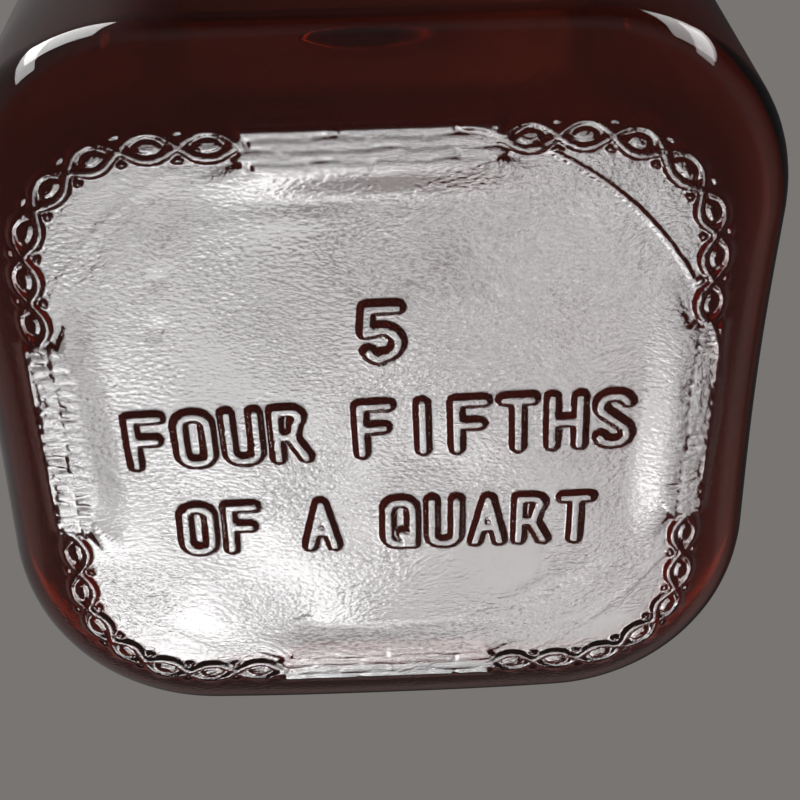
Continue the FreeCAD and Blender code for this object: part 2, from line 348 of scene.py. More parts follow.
    def build(self) -> bpy.types.Material:
        """Makes the material.

        Returns:
            Glass with a plain absorption, a grained base and scuffed ring tops.
        """
        material, tree, output = new_material("amber_bottle_glass_mould_blown")
        place = add_node(tree, "ShaderNodeTexCoord").outputs["Object"]
        level = add_node(tree, "ShaderNodeSeparateXYZ", {0: place}).outputs["Z"]
        base = add_node(tree, "ShaderNodeMapRange", {
            "Value": level, "From Min": (self.grain_top - self.grain_fade) * MM,
            "From Max": self.grain_top * MM, "To Min": 1.0, "To Max": 0.0}).outputs["Result"]
        normal = self.seamed(tree, place, base, self.grained(tree, place, base))
        shader = add_node(tree, "ShaderNodeBsdfPrincipled", {
            "Base Color": (1.0, 1.0, 1.0, 1.0), "Roughness": self.rubbed(tree, place, level),
            "IOR": self.index, "Transmission Weight": 1.0, "Normal": normal})
        inside = add_node(tree, "ShaderNodeVolumeAbsorption", {
            "Color": linear(self.tint), "Density": self.density})
        tree.links.new(shader.outputs["BSDF"], output.inputs["Surface"])
        tree.links.new(inside.outputs["Volume"], output.inputs["Volume"])
        return material


@dataclass(frozen=True)
class LacqueredAluminium:
    """Drawn aluminium sheet with a clear gold lacquer: a soft satin metal, duller where hands rub it."""

    name: str = "drawn_aluminium_gold_lacquer"
    colour: str = "C7A24E"
    worn: str = "B9AE96"
    gloss: float = 0.26
    gloss_range: Point = (-0.05, 0.1)
    line: float = 0.12
    line_length: float = 6.0
    line_height: float = 0.02
    line_strength: float = 0.25
    spot: float = 3.5
    spot_range: Point = (0.56, 0.72)

    def build(self) -> bpy.types.Material:
        """Makes the material.

        Returns:
            Satin gold metal with fine drawing lines around the axis and rubbed spots.
        """
        material, tree, output = new_material(self.name)
        place = add_node(tree, "ShaderNodeTexCoord").outputs["Object"]
        along, across = 1 / (self.line_length * MM), 1 / (self.line * MM)
        stretched = add_node(tree, "ShaderNodeMapping", {
            "Vector": place, "Scale": (along, along, across)})
        lines = add_node(tree, "ShaderNodeTexNoise", {
            "Vector": stretched.outputs["Vector"], "Scale": 1.0, "Detail": 2.0})
        spots = add_node(tree, "ShaderNodeTexNoise", {
            "Vector": place, "Scale": 1 / (self.spot * MM), "Detail": 4.0, "Roughness": 0.62})
        rubbed = add_node(tree, "ShaderNodeMapRange", {
            "Value": spots.outputs["Fac"], "From Min": self.spot_range[0], "From Max": self.spot_range[1]})
        colour = add_node(tree, "ShaderNodeMix", {
            "Factor": rubbed.outputs["Result"], 6: linear(self.colour), 7: linear(self.worn)},
            data_type="RGBA")
        rough = add_node(tree, "ShaderNodeMapRange", {
            "Value": lines.outputs["Fac"], "From Min": 0.3, "From Max": 0.7,
            "To Min": self.gloss + self.gloss_range[0], "To Max": self.gloss + self.gloss_range[1]})
        relief = add_node(tree, "ShaderNodeBump", {
            "Strength": self.line_strength, "Distance": self.line_height * MM,
            "Height": lines.outputs["Fac"]})
        shader = add_node(tree, "ShaderNodeBsdfPrincipled", {
            "Base Color": colour.outputs[2], "Metallic": 1.0, "Roughness": rough.outputs["Result"],
            "Normal": relief.outputs["Normal"]})
        tree.links.new(shader.outputs["BSDF"], output.inputs["Surface"])
        return material


@dataclass(frozen=True)
class MouldedOrPressed:
    """A plain moulded or pressed material whose colour and grain vary a little over the piece."""

    name: str
    colour: str
    other: str
    gloss: float
    grain: float
    height: float
    gloss_play: float = 0.06
    strength: float = 0.4

    def build(self) -> bpy.types.Material:
        """Makes the material.

        Returns:
            A material with two close colours and a grain of the given size.
        """
        material, tree, output = new_material(self.name)
        place = add_node(tree, "ShaderNodeTexCoord").outputs["Object"]
        grain = add_node(tree, "ShaderNodeTexNoise", {
            "Vector": place, "Scale": 1 / (self.grain * MM), "Detail": 3.0, "Roughness": 0.6})
        colour = add_node(tree, "ShaderNodeMix", {
            "Factor": grain.outputs["Fac"], 6: linear(self.colour), 7: linear(self.other)},
            data_type="RGBA")
        rough = add_node(tree, "ShaderNodeMapRange", {
            "Value": grain.outputs["Fac"], "To Min": self.gloss - self.gloss_play,
            "To Max": self.gloss + self.gloss_play})
        relief = add_node(tree, "ShaderNodeBump", {
            "Strength": self.strength, "Distance": self.height * MM, "Height": grain.outputs["Fac"]})
        shader = add_node(tree, "ShaderNodeBsdfPrincipled", {
            "Base Color": colour.outputs[2], "Roughness": rough.outputs["Result"],
            "Normal": relief.outputs["Normal"]})
        tree.links.new(shader.outputs["BSDF"], output.inputs["Surface"])
        return material


# Dark urea moulding, slightly shiny, with the faint flow marks of the mould.
CORE_MOULDING = MouldedOrPressed("urea_moulding_dark", "1B1614", "2A2320", 0.38, 1.2, 0.01)
# Pressed wood pulp, matt and fibrous.
PULPBOARD = MouldedOrPressed("pulpboard_pressed", "A98F68", "8C7351", 0.85, 0.6, 0.05)
# Calendered facing film, pale and smooth.
FACING_FILM = MouldedOrPressed("facing_film_calendered", "DAD5C6", "CFC8B6", 0.3, 2.0, 0.005)


def round_box(wide: float, high: float, radius: float) -> list[Point]:
    """A closed stroke around a box with rounded corners.

    Args:
        wide: the box's width.
        high: the box's height.
        radius: the corner radius.

    Returns:
        Points around the box, the first repeated at the end.
    """
    trail: list[Point] = []
    for corner_x, corner_y, start in ((wide, high, 0), (0, high, 90), (0, 0, 180), (wide, 0, 270)):
        centre = (corner_x - math.copysign(radius, corner_x - wide / 2),
                  corner_y - math.copysign(radius, corner_y - high / 2))
        trail += bend(centre, radius, start, start + 90, 4)
    return trail + trail[:1]


@dataclass(frozen=True)
class WordRow:
    """One line of words: its middle, the size of its letters and its tilt in degrees."""

    words: str
    middle_x: float
    middle_y: float
    high: float
    wide: float
    tilt: float


@dataclass
class CapacityWords:
    """The plain capacity wording that stands raised on the base, drawn with rounded strokes."""

    rows: tuple[WordRow, ...] = (
        WordRow("FOUR FIFTHS", 0.3, -0.4, 5.6, 2.7, -1.2),
        WordRow("OF A QUART", 0.7, 11.3, 5.4, 2.5, 0.2),
        WordRow("5", 0.7, -11.5, 5.6, 3.0, -1.0),
    )
    spacing: float = 1.95
    space: float = 1.6
    foot: float = 0.9
    crest: float = 0.34
    height: float = 0.46
    strokes: list[tuple[Point, Point]] = field(default_factory=list)

    def glyph(self, letter: str, wide: float, high: float) -> list[list[Point]]:
        """The strokes of one character.

        Args:
            letter: the character.
            wide: its width.
            high: its height.

        Returns:
            Lists of points in a box from the baseline up.
        """
        turn = min(wide, high) * 0.42
        ring = round_box(wide, high, turn)
        bowl = [(0.0, high), (wide - turn, high)]
        bowl += bend((wide - turn, high - turn * 0.62), turn * 0.62, 90, -90, 6)
        bowl[-1] = (wide - turn, high * 0.47)
        shapes: dict[str, list[list[Point]]] = {
            " ": [],
            "A": [[(0, 0), (wide / 2, high), (wide, 0)],
                  [(wide * 0.2, high * 0.34), (wide * 0.8, high * 0.34)]],
            "F": [[(0, 0), (0, high), (wide, high)], [(0, high * 0.52), (wide * 0.82, high * 0.52)]],
            "H": [[(0, 0), (0, high)], [(wide, 0), (wide, high)], [(0, high / 2), (wide, high / 2)]],
            "I": [[(wide / 2, 0), (wide / 2, high)]],
            "O": [ring],
            "Q": [ring, [(wide * 0.55, high * 0.24), (wide, 0)]],
            "R": [[(0, 0), (0, high)], bowl + [(0, high * 0.47)], [(wide * 0.5, high * 0.47), (wide, 0)]],
            "S": [bend((wide - turn, high - turn), turn, 20, 90, 4)
                  + bend((turn, high - turn), turn, 90, 230, 6)
                  + bend((wide - turn, turn), turn, 50, -90, 6)
                  + bend((turn, turn), turn, -90, -160, 4)],
            "T": [[(0, high), (wide, high)], [(wide / 2, 0), (wide / 2, high)]],
            "U": [[(0, high), (0, turn)] + bend((turn, turn), turn, 180, 270, 4)
                  + bend((wide - turn, turn), turn, 270, 360, 4) + [(wide, high)]],
            "5": [[(wide, high), (wide * 0.08, high), (0, high * 0.52)]
                  + bend((wide * 0.5, high * 0.32), wide * 0.5, 120, -90, 9)
                  + bend((wide * 0.42, high * 0.2), high * 0.2, -90, -165, 3)],
        }
        return shapes[letter]

    def lay_out(self) -> None:
        """Places every stroke on the base, letters upright towards the front of the bottle."""
        for row in self.rows:
            widths = [self.space if letter == " " else row.wide for letter in row.words]
            pen = -(sum(widths) + self.spacing * (len(row.words) - 1)) / 2
            lean = math.radians(row.tilt)
            for letter, width in zip(row.words, widths):
                for stroke in self.glyph(letter, row.wide, row.high):
                    laid = []
                    for along, up in stroke:
                        x, y = pen + along, row.high / 2 - up
                        laid.append((row.middle_x + x * math.cos(lean) - y * math.sin(lean),
                                     row.middle_y + x * math.sin(lean) + y * math.cos(lean)))
                    self.strokes += list(zip(laid[:-1], laid[1:]))
                pen += width + self.spacing

    def zones(self) -> list[tuple[float, float, float, float]]:
        """The boxes around the rows that need a finer mesh, as low and high x and y."""
        boxes = []
        for row in self.rows:
            half = (row.wide + self.spacing) * len(row.words) / 2 + 0.8
            tall = row.high / 2 + 1.7
            boxes.append((row.middle_x - half, row.middle_x + half,
                          row.middle_y - tall, row.middle_y + tall))
        return boxes

    def rise(self, x: np.ndarray, y: np.ndarray) -> np.ndarray:
        """How far the letters stand up at each point.

        Args:
            x: places across the base in millimetres.
            y: places from front to back in millimetres.

        Returns:
            Heights in millimetres.
        """
        nearest = np.full(x.shape, 99.0)
        for (ax, ay), (bx, by) in self.strokes:
            run_x, run_y = bx - ax, by - ay
            length = run_x * run_x + run_y * run_y + 1e-9
            share = np.clip(((x - ax) * run_x + (y - ay) * run_y) / length, 0, 1)
            nearest = np.minimum(nearest, np.hypot(x - ax - share * run_x, y - ay - share * run_y))
        share = np.clip((nearest - self.crest) / (self.foot - self.crest), 0, 1)
        return self.height * (1 + np.cos(math.pi * share)) / 2


@dataclass
class GlassBottle:
    """The bottle itself: one closed mesh from the knurled base up over the lip and down the inside."""

    body_half: float = 40.0
    corner: float = 21.0
    heel: float = 7.0
    side_heel: float = 15.0
    ring_width: float = 3.6
    edge_width: float = 1.2
    panel_slope: float = 4.5
    panel_depth: float = 0.6
    dome: float = 0.35
    wall: float = 3.5
    floor: float = 6.5
    inner_heel: float = 5.0
    body_top: float = 148.0
    shoulder_top: float = 188.0
    collar_base: float = 214.0
    collar_top: float = 218.0
    bead_base: float = 219.2
    bead_top: float = 222.0
    lip: float = 240.0
    neck_low: float = 15.0
    neck: float = 14.0
    collar: float = 16.2
    groove: float = 14.1
    bead: float = 15.3
    root: float = 12.6
    bore: float = 9.2
    bore_ends: Point = (2.0, 4.0)
    bore_flare: float = 0.9
    thread_pitch: float = 4.2
    thread_depth: float = 1.1
    thread_start: float = 5.0
    thread_turns: float = 1.5
    thread_half: float = 1.0
    thread_flank: float = 0.55
    thread_fade: float = 0.35
    thread_ends: Point = (1.0, 1.2)
    thread_row: float = 0.36
    collar_round: float = 1.2
    edge_round: float = 0.3
    bead_round: float = 0.6
    groove_break: float = 0.2
    root_round: float = 0.5
    lip_round: float = 1.0
    bore_round: float = 0.8
    eye_pitch: float = 4.95
    eyes_to_bars: float = 3.5
    strand_swing: float = 1.25
    strand_half: float = 0.56
    strand_height: float = 0.46
    bead_half: Point = (1.35, 0.75)
    leaf_half: Point = (0.7, 0.42)
    leaf_off: float = 1.3
    ground: float = 0.4
    bar_height: float = 0.24
    joint: float = 0.27
    row_line: float = 0.22
    dents: tuple[tuple[float, float, float], ...] = (
        (-19.5, -17.9, 0.5), (-20.1, -12.6, 0.2), (-8.3, 24.3, 1.2))
    dent_half: Point = (0.5, 1.1)
    dent_depth: float = 0.1
    dome_reach: float = 30.0
    seam_rise: float = 0.04
    seam_half: float = 0.6
    fold: tuple[float, float, float] = (-4.0, 10.0, 34.3)
    fold_rise: float = 0.05
    fold_half: float = 1.7
    smear: Point = (16.5, 21.0)
    smear_depth: float = 0.08
    edge_fade: float = 0.5
    bars_fade: float = 5.0
    fine: int = 132
    ring_steps: int = 24
    heel_steps: int = 13
    shoulder_steps: int = 30
    throat_step: int = 26
    grid_share: float = 0.985
    underside: float = 2.5
    words: CapacityWords = field(default_factory=CapacityWords)
    spots: list[tuple[float, float, float]] = field(default_factory=list)
    faces: list[tuple[int, ...]] = field(default_factory=list)

    def loop_radius(self, turn: np.ndarray, half: float, corner: float) -> np.ndarray:
        """Distance from the axis to a rounded square.

        Args:
            turn: directions from the axis in radians.
            half: half the square's width.
            corner: the corner radius.

        Returns:
            The distances.
        """
        across, along = np.abs(np.cos(turn)), np.abs(np.sin(turn))
        flat = half - corner
        side = half / np.maximum(across, along)
        on_side = side * np.minimum(across, along) <= flat
        under = (flat * (across + along)) ** 2 - 2 * flat ** 2 + corner ** 2
        return np.where(on_side, side, flat * (across + along) + np.sqrt(np.maximum(under, 0)))

    def columns(self) -> np.ndarray:
        """Directions of the finest columns, evenly spaced along the middle of the bearing ring."""
        half = self.body_half - self.heel - self.ring_width / 2
        corner = self.corner - self.heel - self.ring_width / 2
        dense = np.linspace(-math.pi / 4, 7 * math.pi / 4, 40001)
        reach = self.loop_radius(dense, half, corner)
        path = np.hypot(np.diff(reach * np.cos(dense)), np.diff(reach * np.sin(dense)))
        run = np.concatenate(([0.0], np.cumsum(path)))
        return np.interp(np.arange(8 * self.fine) / (8 * self.fine) * run[-1], run, dense)

    def add_loop(self, turn: np.ndarray, reach: np.ndarray, level: np.ndarray | float) -> Loop:
        """Adds a ring of points.

        Args:
            turn: directions from the axis.
            reach: distances from the axis.
            level: one level, or one for each point.

        Returns:
            The points' numbers.
        """
        start = len(self.spots)
        levels = np.broadcast_to(level, turn.shape)
        x, y = reach * np.cos(turn), reach * np.sin(turn)
        self.spots += list(zip(x.tolist(), y.tolist(), levels.tolist()))
        return list(range(start, len(self.spots)))

    def join(self, low: Loop, high: Loop) -> None:
        """Joins two rings with faces, also where one has half as many points.

        Args:
            low: the ring nearer the base's middle along the profile.
            high: the next ring along the profile.
        """
        count, other = len(low), len(high)
        if count == other:
            for column in range(count):
                after = (column + 1) % count
                self.faces.append((low[column], low[after], high[after], high[column]))
            return
        coarse = min(count, other)
        for column in range(coarse):
            after = (column + 1) % coarse
            twin = 2 * column
            last = (twin + 2) % (2 * coarse)
            if count > other:
                self.faces.append((low[twin], low[twin + 1], high[column]))
                self.faces.append((low[twin + 1], high[after], high[column]))
                self.faces.append((low[twin + 1], low[last], high[after]))
            else:
                self.faces.append((low[column], high[twin + 1], high[twin]))
                self.faces.append((low[column], low[after], high[twin + 1]))
                self.faces.append((low[after], high[last], high[twin + 1]))

    def fill(self, rim: Loop, faces_down: bool) -> None:
        """Closes a ring with a grid that turns from a square in the middle to the ring's own shape.

        Args:
            rim: the ring, whose count divides by four and which starts at a corner.
            faces_down: whether the filled face looks down.
        """
        side = len(rim) // 4
        edge = np.array([self.spots[number] for number in rim])
        width = float(np.abs(edge[:, :2]).max())
        level = float(edge[0, 2])
        grid = [[-1] * (side + 1) for _ in range(side + 1)]
        for step in range(side):
            grid[side][step] = rim[step]
            grid[side - step][side] = rim[side + step]
            grid[0][side - step] = rim[2 * side + step]
            grid[step][0] = rim[3 * side + step]
        for across in range(1, side):
            for along in range(1, side):
                p, q = 2 * across / side - 1, 2 * along / side - 1
                size = max(abs(p), abs(q))
                place = np.array((p, q)) * width * self.grid_share
                if size > 0:
                    if abs(p) >= abs(q):
                        step = (q / size + 1) / 2 * side
                        lap = step if p > 0 else 3 * side - step
                    else:
                        step = (p / size + 1) / 2 * side
                        lap = 2 * side - step if q > 0 else 3 * side + step
                    first = int(math.floor(lap)) % len(rim)
                    share = lap - math.floor(lap)
                    bound = edge[first, :2] * (1 - share) + edge[(first + 1) % len(rim), :2] * share
                    blend = size ** 4
                    place = place * (1 - blend) + bound * size * blend
                grid[across][along] = len(self.spots)
                self.spots.append((float(place[0]), float(place[1]), level))
        for across in range(side):
            for along in range(side):
                corners = (grid[across][along], grid[across][along + 1],
                           grid[across + 1][along + 1], grid[across + 1][along])
                self.faces.append(corners if faces_down else corners[::-1])

    def heel_height(self, x: np.ndarray, y: np.ndarray) -> np.ndarray:
        """Height of the heel, which is drawn up further on the left and right than at front and back.

        Args:
            x: places across the base.
            y: places from front to back.

        Returns:
            Heights in millimetres.
        """
        sideways = np.abs(x) / (np.hypot(x, y) + 1e-9)
        return self.heel + (self.side_heel - self.heel) * sideways ** 3

    def heel_level(self, inward: np.ndarray | float, height: np.ndarray) -> np.ndarray:
        """Level of the smooth heel under the knurling, part of an ellipse that ends upright on the wall.

        Args:
            inward: distance in from the ring's outer edge, below 0 outside it.
            height: the heel's height in that direction.

        Returns:
            Levels in millimetres.
        """
        share = np.clip((self.ring_width - inward) / (self.ring_width + self.heel), 0, 1)
        return height - (height - self.ground) * np.sqrt(1 - share ** 2)

    def corner_run(self, x: np.ndarray, y: np.ndarray) -> np.ndarray:
        """Distance from the nearest corner's middle, along the middle of the bearing ring.

        Args:
            x: places across the base.
            y: places from front to back.

        Returns:
            Distances in millimetres.
        """
        corner = self.corner - self.heel - self.ring_width / 2
        flat = self.body_half - self.heel - self.ring_width / 2 - corner
        wide, deep = np.abs(x), np.abs(y)
        swing = np.arctan2(np.maximum(deep - flat, 1e-9), np.maximum(wide - flat, 1e-9)) - math.pi / 4
        along = np.minimum(wide, deep)
        return np.where(along > flat, np.abs(corner * swing), corner * math.pi / 4 + flat - along)

    def bars(self, run: np.ndarray, off: np.ndarray, grip: Grip) -> np.ndarray:
        """Rows of worn bars in the middle of a side, with soft joints of uneven depth.

        Args:
            run: places along the side.
            off: places across the ring, from its middle.
            grip: which bars.

        Returns:
            Shares of the bars' height, 1 on their tops.
        """
        # The rows wander, and every second one is shifted by half a bar.
        length, width = grip.value
        row = np.round(off / width)
        wander = 0.17 * np.sin(run / 1.7 + 2.1 * row) + 0.09 * np.sin(2.3 * off + run / 0.7)
        place = (run + wander) / length + row / 2
        # Wear has left the joints and the lines between the rows uneven.
        joint = np.abs(place - np.round(place)) * length
        line = width / 2 - np.abs(off + 0.06 * np.sin(run / 0.9) - row * width)
        cut = np.maximum(np.exp(-(joint / self.joint) ** 2), 0.8 * np.exp(-(line / self.row_line) ** 2))
        worn = 0.5 + 0.5 * np.sin(0.83 * run + 1.9 * row) * np.cos(0.31 * run - 1.3 * off)
        return 1 - cut * (0.14 + 0.46 * worn ** 3)

    def ring_level(self, x: np.ndarray, y: np.ndarray, inward: np.ndarray) -> np.ndarray:
        """Level of the bearing ring: a chain of eyes round the corners and bars along the sides.

        Args:
            x: places across the base.
            y: places from front to back.
            inward: distance in from the ring's outer edge.

        Returns:
            Levels in millimetres, 0 on the tops that stand on the table.
        """
        # The chain wanders a little, and its strands stand unevenly.
        on_flank = np.abs(x) >= np.abs(y)
        from_corner = self.corner_run(x, y) + 0.22 * np.sin((x - y) / 5.1)
        off = inward - self.ring_width / 2
        uneven = 0.86 + 0.14 * np.sin(x / 2.7 + 1.0) * np.cos(y / 3.1)
        # Two strands cross between the eyes, with a bead in each eye and leaves beside each crossing.
        phase = math.pi * from_corner / self.eye_pitch
        tilt = np.hypot(1, self.strand_swing * math.pi / self.eye_pitch * np.sin(phase))
        strand = np.minimum(np.abs(off - self.strand_swing * np.cos(phase)),
                            np.abs(off + self.strand_swing * np.cos(phase))) / tilt
        nearest_eye = from_corner - np.round(from_corner / self.eye_pitch) * self.eye_pitch
        bead = np.hypot(nearest_eye / self.bead_half[0], off / self.bead_half[1])
        gap = self.eye_pitch / 2 - np.abs(nearest_eye)
        leaf = np.hypot(gap / self.leaf_half[0], (np.abs(off) - self.leaf_off) / self.leaf_half[1])
        chain = np.maximum.reduce([
            np.clip(1.2 - 1.2 * (strand / self.strand_half) ** 2, 0, 1),
            np.clip(1.5 - 1.5 * bead ** 2, 0, 0.85), np.clip(0.9 - leaf ** 2, 0, 1)])
        bars = np.where(on_flank, self.bars(y, off, Grip.CROSS_BARS), self.bars(x, off, Grip.LONG_BARS))
        # Chain and bars meet softly, and both fade out at the ring's edges.
        edge = ease(inward / self.edge_fade)
        inner = np.clip(inward / self.edge_fade - 0.5, 0, 1)
        past = inward - self.ring_width
        heel = self.heel_level(inward, self.heel_height(x, y))
        to_bars = from_corner - self.eyes_to_bars * self.eye_pitch
        blend = ease((to_bars + self.eye_pitch / 2) / self.bars_fade) * inner
        ground = heel * (1 - blend) + self.bar_height * blend
        bars = 1 - (1 - bars) * np.clip(1.5 - past / 0.8, 0, 1)
        chain = self.strand_height * chain * uneven * np.clip(1 - past / 0.3, 0, 1)
        soft = 0.4 + 8.0 * np.clip(past / 1.6, 0, 1)
        side = np.clip(to_bars / soft + 0.5, 0, 1)
        return np.maximum(ground - edge * (ground * bars * side + chain * (1 - side)), 0)

    def panel_level(self, x: np.ndarray, y: np.ndarray) -> np.ndarray:
        """Level of the base panel: a shallow push-up with slow waves, a seam, dents and letters.

        Args:
            x: places across the base.
            y: places from front to back.

        Returns:
            Levels in millimetres.
        """
        # A shallow push-up with three slow waves.
        out = np.hypot(x, y)
        level = self.panel_depth + self.dome * np.clip(1 - (out / self.dome_reach) ** 2, 0, 1)
        level += 0.08 * np.sin(x / 4.1 + 0.7) * np.cos(y / 5.3 - 0.4)
        level += 0.04 * np.sin((x + 1.7 * y) / 6.7 + 1.1)
        level += 0.02 * np.sin(x / 2.3 - y / 3.1)
        # The seam, and a fold that follows it on one side.
        level -= self.seam_rise * np.exp(-((out - SEAM) / self.seam_half) ** 2)
        fold_x, fold_y, fold_radius = self.fold
        arc = np.hypot(x - fold_x, y - fold_y) - fold_radius
        span = np.clip(1.5 - np.abs(x + 6) / 9, 0, 1)
        level -= self.fold_rise * np.exp(-(arc / self.fold_half) ** 2) * span
        # A smear of the mould, and small dents.
        past_x, past_y = x - self.smear[0], y - self.smear[1]
        across, along = past_x * 0.57 + past_y * 0.82, past_x * 0.82 - past_y * 0.57
        level += self.smear_depth * np.exp(-(across / 1.2) ** 2) * np.clip(1.3 - np.abs(along) / 7, 0, 1)
        for dent_x, dent_y, lean in self.dents:
            run = (x - dent_x) * math.cos(lean) + (y - dent_y) * math.sin(lean)
            side = (y - dent_y) * math.cos(lean) - (x - dent_x) * math.sin(lean)
            apart = (run / self.dent_half[0]) ** 2 + (side / self.dent_half[1]) ** 2
            level += self.dent_depth * np.exp(-apart)
        return level - self.words.rise(x, y)

    def base_level(self, x: np.ndarray, y: np.ndarray) -> np.ndarray:
        """Level of any point of the underside inside the bearing ring's outer edge.

        Args:
            x: places across the base.
            y: places from front to back.

        Returns:
            Levels in millimetres, 0 on the bearing ring's tops.
        """
        half = self.body_half - self.heel
        corner = self.corner - self.heel
        flat = half - corner
        wide, deep = np.abs(x) - flat, np.abs(y) - flat
        beyond = np.hypot(np.maximum(wide, 0), np.maximum(deep, 0))
        inward = corner - beyond - np.minimum(np.maximum(wide, deep), 0)
        ring = self.ring_level(x, y, inward)
        share = ease((inward - self.ring_width) / self.panel_slope)
        return ring * (1 - share) + self.panel_level(x, y) * share

    def thread_rise(self, turn: np.ndarray, level: float) -> np.ndarray:
        """How far the thread stands out of the finish.

        Args:
            turn: directions from the axis.
            level: the level.

        Returns:
            Heights in millimetres.
        """
        lap = np.mod(turn, 2 * math.pi)
        best = np.zeros(turn.shape)
        for wind in range(2):
            angle = lap + 2 * math.pi * wind
            middle = self.bead_top + self.thread_start + self.thread_pitch * angle / (2 * math.pi)
            flank = ease((self.thread_half - np.abs(level - middle)) / self.thread_flank)
            left = 2 * math.pi * self.thread_turns - angle
            taper = np.clip(angle / self.thread_fade, 0, 1) * np.clip(left / self.thread_fade, 0, 1)
            best = np.maximum(best, flank * np.sqrt(taper))
        return self.thread_depth * best

    def outside(self, turns: np.ndarray) -> list[Loop]:
        """Adds the rings of the outer wall, from the heel to the lip.

        Args:
            turns: the finest column directions.

        Returns:
            The rings in order.
        """
        rows: list[Loop] = []
        half, corner = self.body_half - self.heel, self.corner - self.heel
        start = math.asin(self.ring_width / (self.ring_width + self.heel))
        for step in range(1, self.heel_steps + 1):
            arc = start + (math.pi / 2 - start) * step / self.heel_steps
            out = (self.ring_width + self.heel) * math.sin(arc) - self.ring_width
            turn = turns[::2] if step < 5 else turns[::4]
            level = self.heel_level(-out, self.heel_height(np.cos(turn), np.sin(turn)))
            rows.append(self.add_loop(turn, self.loop_radius(turn, half + out, corner + out), level))
        turn = turns[::8]
        for level in np.linspace(self.side_heel, self.body_top, 16)[1:]:
            reach = self.loop_radius(turn, self.body_half, self.corner)
            rows.append(self.add_loop(turn, reach, float(level)))
        share = self.corner / self.body_half
        for step in range(1, self.shoulder_steps + 1):
            way = step / self.shoulder_steps
            width = self.neck_low + (self.body_half - self.neck_low) * (1 + math.cos(math.pi * way)) / 2
            rounding = width * (share + (1 - share) * way)
            level = self.body_top + (self.shoulder_top - self.body_top) * way
            rows.append(self.add_loop(turn, self.loop_radius(turn, width, rounding), level))
        ones = np.ones(turn.shape)
        profile = [(self.neck_low + (self.neck - self.neck_low) * step / 8,
                    self.shoulder_top + (self.collar_base - self.bead_round - self.shoulder_top) * step / 8)
                   for step in range(1, 9)]
        fillet, collar, edge = self.bead_round, self.collar_round, self.edge_round
        profile += bend((self.neck + fillet, self.collar_base - fillet), fillet, 180, 90, 3)
        profile += bend((self.collar - collar, self.collar_base + collar), collar, -90, 0, 6)
        profile += bend((self.collar - edge, self.collar_top - edge), edge, 0, 90, 3)
        eased = self.groove_break
        profile += [(self.groove + eased, self.collar_top), (self.groove, self.collar_top + eased)]
        profile += [(self.groove, self.bead_base - eased), (self.groove + eased, self.bead_base)]
        profile += bend((self.bead - fillet, self.bead_base + fillet), fillet, -90, 0, 4)
        profile += bend((self.bead - fillet, self.bead_top - fillet), fillet, 0, 90, 4)
        foot = self.root_round
        profile += bend((self.root + foot, self.bead_top + foot), foot, -90, -180, 3)
        for radius, level in profile:
            rows.append(self.add_loop(turn, radius * ones, level))
        above, below = self.thread_ends
        for level in np.arange(self.bead_top + above, self.lip - below, self.thread_row):
            reach = self.root + self.thread_rise(turn, float(level))
            rows.append(self.add_loop(turn, reach, float(level)))
        return rows

    def inside(self, turns: np.ndarray) -> list[Loop]:
        """Adds the rings of the lip, the bore and the inner wall, down to the inner floor.

        Args:
            turns: the finest column directions.

        Returns:
            The rings in order.
        """
        rows: list[Loop] = []
        turn = turns[::8]
        ones = np.ones(turn.shape)
        outer, inner = self.lip_round, self.bore_round
        profile = bend((self.root - outer, self.lip - outer), outer, 0, 90, 5)
        profile += bend((self.bore + inner, self.lip - inner), inner, 90, 180, 5)
        below, above = self.bore_ends
        levels = np.linspace(self.lip - above, self.shoulder_top - below, 14)
        profile += [(self.bore, float(level)) for level in levels]
        for radius, level in profile:
            rows.append(self.add_loop(turn, radius * ones, level))
        width, rounding = self.body_half - self.wall, self.corner - self.wall
        share = rounding / width
        throat = self.bore * self.bore_flare
        for step in range(self.throat_step, -1, -1):
            way = step / self.shoulder_steps
            reach = throat + (width - throat) * (1 + math.cos(math.pi * way)) / 2
            corner = reach * (share + (1 - share) * way)
            level = self.body_top + (self.shoulder_top - self.body_top) * way
            rows.append(self.add_loop(turn, self.loop_radius(turn, reach, corner), level))
        for level in np.linspace(self.body_top, self.floor + self.inner_heel, 12)[1:]:
            rows.append(self.add_loop(turn, self.loop_radius(turn, width, rounding), float(level)))
        for step in range(1, 8):
            arc = math.radians(90 * step / 7)
            pulled = self.inner_heel * (1 - math.cos(arc))
            rows.append(self.add_loop(turn, self.loop_radius(turn, width - pulled, rounding - pulled),
                                      self.floor + self.inner_heel * (1 - math.sin(arc))))
        return rows

    def refine(self, mesh: bpy.types.Mesh) -> None:
        """Divides the base where the letters stand, then lifts the whole underside to its relief.

        Args:
            mesh: the bottle's mesh, in metres.
        """
        shape = bmesh.new()
        shape.from_mesh(mesh)
        near = self.underside * MM
        zones = self.words.zones()

        def in_zone(spot: Vector) -> bool:
            """Whether a point of the underside lies in a letter row's box."""
            x, y = spot.x / MM, spot.y / MM
            return spot.z < near and any(a <= x <= b and c <= y <= d for a, b, c, d in zones)

        edges = [edge for edge in shape.edges if all(in_zone(corner.co) for corner in edge.verts)]
        bmesh.ops.subdivide_edges(shape, edges=edges, cuts=1, use_grid_fill=True)
        reach = self.body_half - self.heel
        under = [spot for spot in shape.verts if spot.co.z < 1e-7 and
                 max(abs(spot.co.x), abs(spot.co.y)) < (reach + 0.01) * MM]
        x = np.array([spot.co.x for spot in under]) / MM
        y = np.array([spot.co.y for spot in under]) / MM
        for spot, level in zip(under, self.base_level(x, y)):
            spot.co.z = float(level) * MM
        shape.to_mesh(mesh)
        shape.free()
        mesh.shade_smooth()

